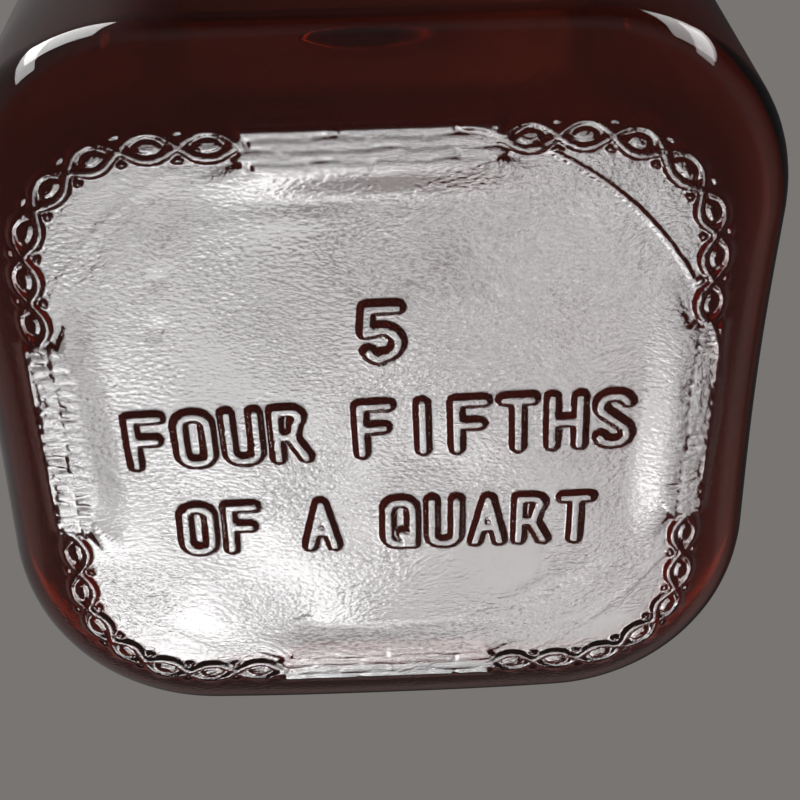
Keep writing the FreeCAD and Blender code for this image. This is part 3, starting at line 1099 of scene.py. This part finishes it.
    def build(self, material: bpy.types.Material) -> bpy.types.Object:
        """Makes the bottle.

        Args:
            material: the glass.

        Returns:
            The bottle as one closed mesh.
        """
        self.words.lay_out()
        turns = self.columns()
        half, corner = self.body_half - self.heel, self.corner - self.heel
        inset = self.ring_width + self.edge_width
        rows = []
        for step in range(self.ring_steps + 1):
            pulled = inset * (1 - step / self.ring_steps)
            turn = turns[::2] if step == 0 else turns
            rows.append(self.add_loop(turn, self.loop_radius(turn, half - pulled, corner - pulled), 0.0))
        self.fill(rows[0], True)
        rows += self.outside(turns)
        rows += self.inside(turns)
        for low, high in zip(rows[:-1], rows[1:]):
            self.join(low, high)
        self.fill(rows[-1], False)
        bottle = mesh_object("amber_bottle", self.spots, self.faces, material)
        self.refine(bottle.data)
        return bottle


@dataclass
class RibRow:
    """Round ribs that stand in a ring around the bottle's axis, each with a rounded upper end."""

    name: str
    count: int
    ring: float
    rib: float
    height: float
    base: float

    def tree(self, material: bpy.types.Material) -> bpy.types.GeometryNodeTree:
        """Builds the nodes that stand the ribs around the axis.

        Args:
            material: the lacquered metal.

        Returns:
            The node tree, with its sizes as inputs.
        """
        tree = bpy.data.node_groups.new(self.name, "GeometryNodeTree")
        face = tree.interface
        face.new_socket("Geometry", in_out="INPUT", socket_type="NodeSocketGeometry")
        face.new_socket("Ribs", in_out="INPUT", socket_type="NodeSocketInt")
        for name in ("Ring Radius", "Rib Radius", "Rib Height", "Middle Level"):
            face.new_socket(name, in_out="INPUT", socket_type="NodeSocketFloat")
        face.new_socket("Geometry", in_out="OUTPUT", socket_type="NodeSocketGeometry")
        given = add_node(tree, "NodeGroupInput").outputs
        ring = add_node(tree, "GeometryNodeMeshCircle", {
            "Vertices": given["Ribs"], "Radius": given["Ring Radius"]})
        rib = add_node(tree, "GeometryNodeMeshCylinder", {
            "Vertices": 10, "Side Segments": 1, "Radius": given["Rib Radius"],
            "Depth": given["Rib Height"]}, fill_type="NGON")
        cap = add_node(tree, "GeometryNodeMeshUVSphere", {
            "Segments": 10, "Rings": 6, "Radius": given["Rib Radius"]})
        half = add_node(tree, "ShaderNodeMath", {0: given["Rib Height"], 1: 0.5}, operation="MULTIPLY")
        lift = add_node(tree, "ShaderNodeCombineXYZ", {"Z": half.outputs["Value"]})
        tip = add_node(tree, "GeometryNodeTransform", {
            "Geometry": cap.outputs["Mesh"], "Translation": lift.outputs["Vector"]})
        parts = add_node(tree, "GeometryNodeJoinGeometry", {0: rib.outputs["Mesh"]})
        tree.links.new(tip.outputs["Geometry"], parts.inputs[0])
        smooth = add_node(tree, "GeometryNodeSetShadeSmooth", {"Geometry": parts.outputs["Geometry"]})
        stand = add_node(tree, "GeometryNodeInstanceOnPoints", {
            "Points": ring.outputs["Mesh"], "Instance": smooth.outputs["Geometry"]})
        place = add_node(tree, "ShaderNodeCombineXYZ", {"Z": given["Middle Level"]})
        risen = add_node(tree, "GeometryNodeTransform", {
            "Geometry": stand.outputs["Instances"], "Translation": place.outputs["Vector"]})
        real = add_node(tree, "GeometryNodeRealizeInstances", {"Geometry": risen.outputs["Geometry"]})
        dressed = add_node(tree, "GeometryNodeSetMaterial", {
            "Geometry": real.outputs["Geometry"], "Material": material})
        add_node(tree, "NodeGroupOutput", {0: dressed.outputs["Geometry"]})
        return tree

    def build(self, material: bpy.types.Material) -> bpy.types.Object:
        """Makes the ribs as a plain mesh.

        Args:
            material: the lacquered metal.

        Returns:
            The ribs.
        """
        seed = bpy.data.objects.new("rib_seed", bpy.data.meshes.new("rib_seed"))
        bpy.context.collection.objects.link(seed)
        tree = self.tree(material)
        ribs = seed.modifiers.new("ribs", "NODES")
        ribs.node_group = tree
        values = {
            "Ribs": self.count, "Ring Radius": self.ring * MM, "Rib Radius": self.rib * MM,
            "Rib Height": self.height * MM, "Middle Level": (self.base + self.height / 2) * MM}
        for item in tree.interface.items_tree:
            if item.in_out == "INPUT" and item.name in values:
                ribs[item.identifier] = values[item.name]
        ready = seed.evaluated_get(bpy.context.evaluated_depsgraph_get())
        mesh = bpy.data.meshes.new_from_object(ready)
        mesh.name = self.name
        row = bpy.data.objects.new(self.name, mesh)
        bpy.context.collection.objects.link(row)
        bpy.data.objects.remove(seed)
        return row


@dataclass(frozen=True)
class RolledGroove:
    """A shallow groove rolled into a turned wall: its depth, its span over a level and its slopes."""

    depth: float
    low: float
    high: float
    slope: float

    def points(self, radius: float, level: float) -> list[Point]:
        """Corners of the groove, from its lower edge up.

        Args:
            radius: the wall's radius.
            level: the level that the span counts from.

        Returns:
            Radius and level of each corner.
        """
        root = radius - self.depth
        low, high = level + self.low, level + self.high
        return [(radius, low), (root, low + self.slope), (root, high - self.slope), (radius, high)]


@dataclass
class ScrewCap:
    """The closure that turns: a drawn shell over the moulded core, with a knurled grip."""

    inner: float = 15.65
    outer: float = 16.05
    skirt: float = 223.4
    core_roof: float = 242.8
    roof: float = 243.2
    crown: float = 1.2
    crease: float = 0.4
    hem: float = 0.2
    hem_groove: RolledGroove = RolledGroove(0.12, 0.9, 1.7, 0.2)
    grip_groove: RolledGroove = RolledGroove(0.16, -1.0, -0.2, 0.25)
    top_depth: float = 0.12
    top_rim: Point = (2.2, 2.6)
    rib: float = 0.3
    rib_sink: float = 0.02
    rib_height: float = 8.0
    rib_base: float = 233.0
    rib_count: int = 60
    sides: int = 192

    def build_shell(self, material: bpy.types.Material) -> bpy.types.Object:
        """Makes the drawn shell, with a curled hem, a shallow groove under the grip and a set-in top.

        Args:
            material: the lacquered metal.

        Returns:
            The shell.
        """
        profile: list[Point] = [(0.0, self.core_roof), (self.inner, self.core_roof)]
        profile += [(self.inner, self.core_roof - self.crease), (self.inner, self.skirt + self.hem)]
        profile += bend((self.inner + self.hem, self.skirt + self.hem), self.hem, 180, 360, 6)
        profile += self.hem_groove.points(self.outer, self.skirt)
        profile += self.grip_groove.points(self.outer, self.rib_base)
        profile += [(self.outer, self.rib_base + self.rib_height)]
        profile += bend((self.outer - self.crown, self.roof - self.crown), self.crown, 0, 90, 8)
        top = self.roof - self.top_depth
        rim, set_in = self.top_rim
        profile += [(self.outer - rim, self.roof), (self.outer - set_in, top), (0.0, top)]
        return lathe("cap_drawn_shell", profile, self.sides, material)

    def build_knurl(self, material: bpy.types.Material) -> bpy.types.Object:
        """Makes the ribs of the grip.

        Args:
            material: the lacquered metal.

        Returns:
            The ribs.
        """
        ring = self.outer - self.rib_sink
        row = RibRow("cap_knurl", self.rib_count, ring, self.rib, self.rib_height, self.rib_base)
        return row.build(material)


@dataclass
class TamperBand:
    """The loose ring below the cap, hemmed under the bead, with the torn bridges along its upper edge."""

    inner: float = 15.65
    outer: float = 16.05
    hem_inner: float = 14.5
    low: float = 218.0
    high: float = 223.0
    hem: float = 0.6
    curl: float = 0.2
    turned: float = 0.35
    edge: float = 0.15
    groove: RolledGroove = RolledGroove(0.1, 1.5, 2.2, 0.2)
    bridges: int = 10
    stub: float = 0.17
    stub_height: float = 0.25
    sides: int = 192

    def build(self, material: bpy.types.Material) -> bpy.types.Object:
        """Makes the band.

        Args:
            material: the lacquered metal.

        Returns:
            The band.
        """
        hem_top, tip = self.low + self.hem, self.hem_inner + self.edge
        profile: list[Point] = [(self.hem_inner, self.low + self.edge), (tip, self.low)]
        profile += bend((self.outer - self.turned, self.low + self.turned), self.turned, -90, 0, 5)
        profile += self.groove.points(self.outer, self.low)
        profile += bend((self.inner + self.curl, self.high - self.curl), self.curl, 0, 180, 6)
        profile += [(self.inner, hem_top), (tip, hem_top), (self.hem_inner, hem_top - self.edge)]
        return lathe("tamper_ring", profile, self.sides, material)

    def build_bridges(self, material: bpy.types.Material) -> bpy.types.Object:
        """Makes the stubs of the torn bridges.

        Args:
            material: the lacquered metal.

        Returns:
            The stubs.
        """
        ring = (self.inner + self.outer) / 2
        row = RibRow("torn_bridges", self.bridges, ring, self.stub, self.stub_height, self.high - self.curl)
        return row.build(material)


@dataclass(frozen=True)
class Lamp:
    """A soft rectangular lamp: its place and size in metres, and its radiance, 1 for a white wall."""

    name: str
    place: tuple[float, float, float]
    size: Point
    radiance: float
    mirrored: bool = True


@dataclass(frozen=True)
class Pane:
    """A bright patch under the base: its place on the sheet of light, its size and its radiance."""

    across: float
    down: float
    wide: float
    high: float
    radiance: float


@dataclass(frozen=True)
class Backdrop:
    """A plain paper backdrop whose brightness each kind of ray meets in its own way, in linear light.

    The camera sees it pale near the horizon and grey above. Glass and metal mirror it warm and dim, and
    rays through the glass meet it bright near the horizon only.
    """

    pale: str = "D8D6D2"
    grey: str = "787572"
    mirrored_below: Colour = (0.24, 0.14, 0.13, 1.0)
    mirrored_horizon: Colour = (0.3, 0.2, 0.19, 1.0)
    mirrored_left: Colour = (0.18, 0.165, 0.165, 1.0)
    mirrored_above: Colour = (0.03, 0.027, 0.027, 1.0)
    through_low: float = 0.6
    through_left: float = 0.04
    through_right: float = 0.13
    plain: float = 0.45
    rise: Point = (0.15, 0.5)
    sink: Point = (-0.25, 0.1)
    left: Point = (-0.3, -0.12)
    turn: Point = (-0.1, 0.25)
    climb: Point = (-0.02, 0.14)

    def build(self) -> bpy.types.World:
        """Makes the world.

        Returns:
            The backdrop.
        """
        world = bpy.data.worlds.new("plain_backdrop")
        world.use_nodes = True
        tree = world.node_tree
        tree.nodes.clear()
        way = add_node(tree, "ShaderNodeTexCoord").outputs["Generated"]
        parts = add_node(tree, "ShaderNodeSeparateXYZ", {0: way}).outputs
        rise, sink, left, turn, climb = [
            add_node(tree, "ShaderNodeMapRange", {"Value": parts[axis], "From Min": low, "From Max": high})
            for axis, (low, high) in (("Z", self.rise), ("Z", self.sink), ("X", self.left),
                                      ("X", self.turn), ("Z", self.climb))]
        shown = add_node(tree, "ShaderNodeMix", {
            "Factor": rise.outputs["Result"], 6: linear(self.pale), 7: linear(self.grey)}, data_type="RGBA")
        low = add_node(tree, "ShaderNodeMix", {
            "Factor": sink.outputs["Result"], 6: self.mirrored_below, 7: self.mirrored_horizon},
            data_type="RGBA")
        over = add_node(tree, "ShaderNodeMix", {
            "Factor": left.outputs["Result"], 6: self.mirrored_left, 7: self.mirrored_above},
            data_type="RGBA")
        mirrored = add_node(tree, "ShaderNodeMix", {
            "Factor": rise.outputs["Result"], 6: low.outputs[2], 7: over.outputs[2]}, data_type="RGBA")
        above = add_node(tree, "ShaderNodeMix", {
            "Factor": turn.outputs["Result"], 6: grey_light(self.through_left),
            7: grey_light(self.through_right)}, data_type="RGBA")
        through = add_node(tree, "ShaderNodeMix", {
            "Factor": climb.outputs["Result"], 6: grey_light(self.through_low), 7: above.outputs[2]},
            data_type="RGBA")
        rays = add_node(tree, "ShaderNodeLightPath").outputs
        answers = ((Ray.GLOSSY, mirrored), (Ray.TRANSMISSION, through), (Ray.CAMERA, shown))
        light: Any = grey_light(self.plain)
        for ray, answer in answers:
            light = add_node(tree, "ShaderNodeMix", {
                "Factor": rays[ray.value], 6: light, 7: answer.outputs[2]}, data_type="RGBA").outputs[2]
        sky = add_node(tree, "ShaderNodeBackground", {"Color": light, "Strength": 1.0})
        add_node(tree, "ShaderNodeOutputWorld", {"Surface": sky.outputs["Background"]})
        return world


@dataclass
class Studio:
    """A plain pale floor, soft lamps, a plain backdrop and the camera below the front of the bottle.

    The places of the lamps are in metres, and those of the camera and the floor in millimetres.
    """

    camera_place: tuple[float, float, float] = (-0.286, -86.156, -117.116)
    looking: tuple[float, float, float] = (0.01771577, 0.57249971, 0.81971351)
    right: tuple[float, float, float] = (0.99926586, 0.01771564, -0.03396913)
    lens: float = 67.5
    backdrop: Backdrop = Backdrop()
    sheet: Lamp = Lamp("sheet_under_base", (0.01, 0.287, -0.477), (0.42, 0.58), 4.8)
    panes: tuple[Pane, ...] = (
        Pane(0.0, 0.0, 0.25, 0.045, 10.5),
        Pane(-0.07, 0.095, 0.14, 0.06, 13.0),
        Pane(-0.115, 0.19, 0.12, 0.08, 25.0),
        Pane(0.03, 0.19, 0.13, 0.06, 8.0),
        Pane(0.09, 0.055, 0.07, 0.05, 9.0),
        Pane(0.06, 0.13, 0.1, 0.03, 10.0),
    )
    pane_foot: Point = (0.211, -0.482)
    pane_lean: Point = (0.903, 0.428)
    room: tuple[Lamp, ...] = (
        Lamp("key", (-0.7, -0.75, 0.8), (0.6, 0.6), 6.0),
        Lamp("fill", (0.8, -0.6, 0.7), (0.4, 0.8), 3.0),
        Lamp("top", (0.0, 0.15, 1.3), (0.7, 0.7), 2.5),
        Lamp("strip_left", (-0.5, -0.34, 0.34), (0.1, 0.48), 5.0),
        Lamp("strip_right", (0.52, -0.34, 0.34), (0.1, 0.48), 3.0),
        Lamp("rim", (0.35, 1.0, 0.22), (0.7, 0.4), 4.0, mirrored=False),
    )
    bottle_middle: float = 0.12
    floor_sides: int = 96
    floor_reach: float = 1500.0
    # Colour of the floor's fixed dim glow that glossy rays see: a painted reflection of a shaded floor.
    floor_painted_reflection: Colour = (0.22, 0.13, 0.12, 1.0)
    floor_fade: Point = (0.25, 1.1)
    floor_drop: float = 0.05
    hole: Point = (32.3, 13.3)
    footprint: GlassBottle = field(default_factory=GlassBottle)

    def set_camera(self) -> None:
        """Sets the camera where the photograph was taken."""
        lens = bpy.data.cameras.new("view_of_the_base")
        lens.lens = self.lens
        lens.sensor_width = 36.0
        lens.clip_start = 0.005
        lens.clip_end = 50.0
        camera = bpy.data.objects.new("view_of_the_base", lens)
        bpy.context.collection.objects.link(camera)
        ahead = Vector(self.looking).normalized()
        side = Vector(self.right).normalized()
        up = side.cross(ahead)
        turn = Matrix((side, up, -ahead)).transposed().to_4x4()
        camera.matrix_world = Matrix.Translation(Vector(self.camera_place) * MM) @ turn
        bpy.context.scene.camera = camera

    def light(self, lamp: Lamp, target: Sequence[float]) -> None:
        """Sets up a lamp that lights and is mirrored, but isn't seen itself.

        Args:
            lamp: the lamp's sizes.
            target: what it points at, in metres.
        """
        light = bpy.data.lights.new(lamp.name, "AREA")
        light.shape = "RECTANGLE"
        light.size, light.size_y = lamp.size
        light.energy = lamp.radiance * math.pi * lamp.size[0] * lamp.size[1]
        thing = bpy.data.objects.new(lamp.name, light)
        bpy.context.collection.objects.link(thing)
        thing.visible_camera = False
        thing.visible_transmission = False
        thing.visible_glossy = lamp.mirrored
        thing.location = lamp.place
        thing.rotation_euler = (Vector(target) - Vector(lamp.place)).to_track_quat("-Z", "Y").to_euler()

    def set_lamps(self) -> None:
        """Sets a broad sheet of light that the base mirrors, and soft lamps for the upright bottle."""
        base = (0.0, 0.0, 0.0)
        middle = (0.0, 0.0, self.bottle_middle)
        self.light(self.sheet, base)
        for number, pane in enumerate(self.panes):
            place = (pane.across, self.pane_foot[0] + self.pane_lean[0] * pane.down,
                     self.pane_foot[1] + self.pane_lean[1] * pane.down)
            for part in PanePart:
                growth, share = part.value
                name = f"pane_{number}_{part.name.lower()}"
                size = (pane.wide * growth, pane.high * growth)
                self.light(Lamp(name, place, size, pane.radiance * share), base)
        for lamp in self.room:
            self.light(lamp, middle)

    def set_floor(self) -> None:
        """Lays a pale floor that shows from above only, and that the base doesn't mirror; elsewhere glass
        mirrors it as a fixed dim glow, a painted reflection of a shaded floor.
        """
        material, tree, output = new_material("pale_floor_matt")
        place = add_node(tree, "ShaderNodeTexCoord").outputs["Object"]
        away = add_node(tree, "ShaderNodeVectorMath", {0: place}, operation="LENGTH").outputs["Value"]
        fade = add_node(tree, "ShaderNodeMapRange", {
            "Value": away, "From Min": self.floor_fade[0], "From Max": self.floor_fade[1]},
            interpolation_type="SMOOTHSTEP")
        under = add_node(tree, "ShaderNodeNewGeometry").outputs["Backfacing"]
        hidden = add_node(tree, "ShaderNodeMath", {
            0: fade.outputs["Result"], 1: under}, operation="MAXIMUM")
        matt = add_node(tree, "ShaderNodeBsdfDiffuse", {"Color": linear(self.backdrop.pale)})
        # Glossy rays see the floor as this fixed dim glow instead of its lit colour: a painted reflection
        # of a shaded floor.
        dim = add_node(tree, "ShaderNodeEmission", {"Color": self.floor_painted_reflection})
        mirrored = add_node(tree, "ShaderNodeLightPath").outputs[Ray.GLOSSY.value]
        top = add_node(tree, "ShaderNodeMixShader", {
            0: mirrored, 1: matt.outputs["BSDF"], 2: dim.outputs["Emission"]})
        clear = add_node(tree, "ShaderNodeBsdfTransparent")
        both = add_node(tree, "ShaderNodeMixShader", {
            0: hidden.outputs["Value"], 1: top.outputs["Shader"], 2: clear.outputs["BSDF"]})
        tree.links.new(both.outputs["Shader"], output.inputs["Surface"])
        turns = np.linspace(0, 2 * math.pi, self.floor_sides, endpoint=False)
        rims = (self.footprint.loop_radius(turns, *self.hole), np.full(turns.shape, self.floor_reach))
        spots = [(reach * math.cos(turn), reach * math.sin(turn), -self.floor_drop)
                 for rim in rims for turn, reach in zip(turns, rim)]
        faces = [(side, side + self.floor_sides, (side + 1) % self.floor_sides + self.floor_sides,
                  (side + 1) % self.floor_sides) for side in range(self.floor_sides)]
        floor = mesh_object("floor", spots, faces, material)
        under_base = mesh_object("floor_under_base", spots[:self.floor_sides],
                                 [tuple(range(self.floor_sides))], material)
        under_base.visible_glossy = False
        for piece in (floor, under_base):
            piece.visible_diffuse = False
            piece.visible_transmission = False
            piece.visible_shadow = False


def dress(node: str, material: bpy.types.Material) -> None:
    """Gives a carried-over piece its finish.

    Args:
        node: the piece's name.
        material: the finish.
    """
    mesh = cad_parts[node].data
    mesh.materials.clear()
    mesh.materials.append(material)
    log.info("dressed %s", node)


def place_piece(piece: bpy.types.Object, body: str, nodes: Sequence[str]) -> None:
    """Hands a finished piece to its body.

    Args:
        piece: the piece.
        body: the body that carries it.
        nodes: the plain solids that it stands for.
    """
    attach(piece, body)
    if nodes:
        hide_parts(*nodes)
    log.info("%s: %d faces on %s", piece.name, len(piece.data.polygons), body)


def main() -> None:
    """Builds every piece, dresses it and sets the studio."""
    logging.basicConfig(level=logging.INFO, format="%(name)s %(message)s")
    bpy.context.scene.view_settings.view_transform = "Standard"
    glass = AmberGlass().build()
    metal = LacqueredAluminium().build()
    place_piece(GlassBottle().build(glass), "bottle", ("glass_bottle",))
    cap = ScrewCap()
    place_piece(cap.build_shell(metal), "cap", ("cap_shell",))
    place_piece(cap.build_knurl(metal), "cap", ())
    band = TamperBand()
    place_piece(band.build(metal), "band", ("tamper_band",))
    place_piece(band.build_bridges(metal), "band", ())
    dress("cap_core", CORE_MOULDING.build())
    dress("liner_board", PULPBOARD.build())
    dress("liner_facing", FACING_FILM.build())
    studio = Studio()
    studio.set_floor()
    studio.set_lamps()
    bpy.context.scene.world = studio.backdrop.build()
    studio.set_camera()


if __name__ == "__main__":
    main()
